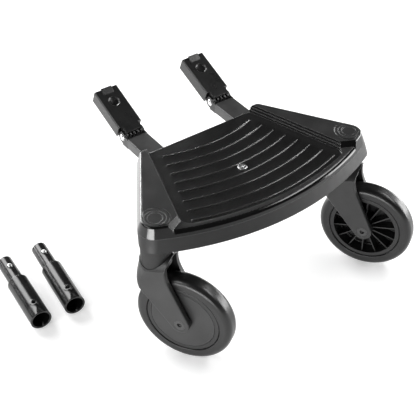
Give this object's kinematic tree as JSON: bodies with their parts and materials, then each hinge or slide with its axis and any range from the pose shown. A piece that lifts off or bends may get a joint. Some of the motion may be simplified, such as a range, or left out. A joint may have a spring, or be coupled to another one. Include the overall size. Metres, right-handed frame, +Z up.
{
  "type": "buggy board",
  "caption": "Ride-on buggy board: ribbed standing platform on swivel caster wheels, with hinged arm sockets and loose snap-button tube adapters.",
  "frame": {"origin": "on the floor, in the middle of the footprint of the board and its loose adapters", "axes": "+X to the board's right, +Y forwards along the arms to the pushchair, +Z up"},
  "size_m": [0.4734, 0.33, 0.2254],
  "materials": {
    "shell_black": "fine-grained black moulding",
    "frame_grey": "satin dark grey moulding",
    "grip": "soft dark strips",
    "block_black": "fine-grained black moulding",
    "bar_black": "satin black coating on steel tube",
    "fork_grey": "satin dark grey moulding",
    "rim_black": "satin black moulding",
    "tyre": "smooth solid rubber",
    "bush": "plain natural bearing plastic",
    "steel": "zinc-plated steel",
    "rivet": "bright nickel plating",
    "adapter_black": "glossy black",
    "bolt_black": "black-finished steel",
    "spring": "spring steel strip"
  },
  "bodies": {
    "platform": {"deck_shell": "shell_black", "grip_strips": "grip", "lower_frame": "frame_grey", "deck_screw": "steel", "shell_screws": "steel", "bar_screws": "steel", "left_pivot_cap": "shell_black", "left_swivel_bushes": "bush", "left_arm_bar": "bar_black", "left_bar_knuckle": "block_black", "left_hinge_rivet": "rivet", "right_pivot_cap": "shell_black", "right_swivel_bushes": "bush", "right_arm_bar": "bar_black", "right_bar_knuckle": "block_black", "right_hinge_rivet": "rivet"},
    "left_socket": {"left_socket_block": "block_black"},
    "left_caster": {"left_fork": "fork_grey", "left_swivel_pin": "steel", "left_pin_washer": "steel", "left_pin_clip": "steel", "left_axle_bolt": "bolt_black", "left_axle_nut": "bolt_black"},
    "left_wheel": {"left_tyre": "tyre", "left_wheel_rim": "rim_black", "left_wheel_cover": "rim_black", "left_hub_bushes": "bush"},
    "left_adapter": {"left_adapter_tube": "adapter_black", "left_button_spring": "spring"},
    "left_button": {"left_adapter_button": "steel"},
    "right_socket": {"right_socket_block": "block_black"},
    "right_caster": {"right_fork": "fork_grey", "right_swivel_pin": "steel", "right_pin_washer": "steel", "right_pin_clip": "steel", "right_axle_bolt": "bolt_black", "right_axle_nut": "bolt_black"},
    "right_wheel": {"right_tyre": "tyre", "right_wheel_rim": "rim_black", "right_wheel_cover": "rim_black", "right_hub_bushes": "bush"},
    "right_adapter": {"right_adapter_tube": "adapter_black", "right_button_spring": "spring"},
    "right_button": {"right_adapter_button": "steel"}
  },
  "joints": [
    {"name": "left_socket_hinge", "type": "hinge", "parent": "platform", "child": "left_socket", "pos_m": [-0.03602, 0.09495, 0.18654], "axis": [1, 0, 0], "range_deg": [-30, 25]},
    {"name": "left_caster_swivel", "type": "hinge", "parent": "platform", "child": "left_caster", "pos_m": [-0.11332, -0.07605, 0.13804], "axis": [0, 0, 1], "continuous": true},
    {"name": "left_wheel_spin", "type": "hinge", "parent": "left_caster", "child": "left_wheel", "pos_m": [-0.09395, -0.10828, 0.0625], "axis": [0.8572, 0.515, 0], "continuous": true},
    {"name": "left_adapter_lift", "type": "slide", "parent": "platform", "child": "left_adapter", "axis": [0, 0, 1], "range_m": [0, 0.25]},
    {"name": "left_button_press", "type": "slide", "parent": "left_adapter", "child": "left_button", "axis": [0, 0, 1], "range_m": [-0.0034, 0], "stiffness_N_per_m": 1200, "springref_m": 0.002, "deforming": ["left_button_spring"]},
    {"name": "right_socket_hinge", "type": "hinge", "parent": "platform", "child": "right_socket", "pos_m": [0.10058, 0.09495, 0.18654], "axis": [1, 0, 0], "range_deg": [-30, 25]},
    {"name": "right_caster_swivel", "type": "hinge", "parent": "platform", "child": "right_caster", "pos_m": [0.17788, -0.07605, 0.13804], "axis": [0, 0, 1], "continuous": true},
    {"name": "right_wheel_spin", "type": "hinge", "parent": "right_caster", "child": "right_wheel", "pos_m": [0.19725, -0.10828, 0.0625], "axis": [0.8572, 0.515, 0], "continuous": true},
    {"name": "right_adapter_lift", "type": "slide", "parent": "platform", "child": "right_adapter", "axis": [0, 0, 1], "range_m": [0, 0.25]},
    {"name": "right_button_press", "type": "slide", "parent": "right_adapter", "child": "right_button", "axis": [0, 0, 1], "range_m": [-0.0034, 0], "stiffness_N_per_m": 1200, "springref_m": 0.002, "deforming": ["right_button_spring"]}
  ]
}
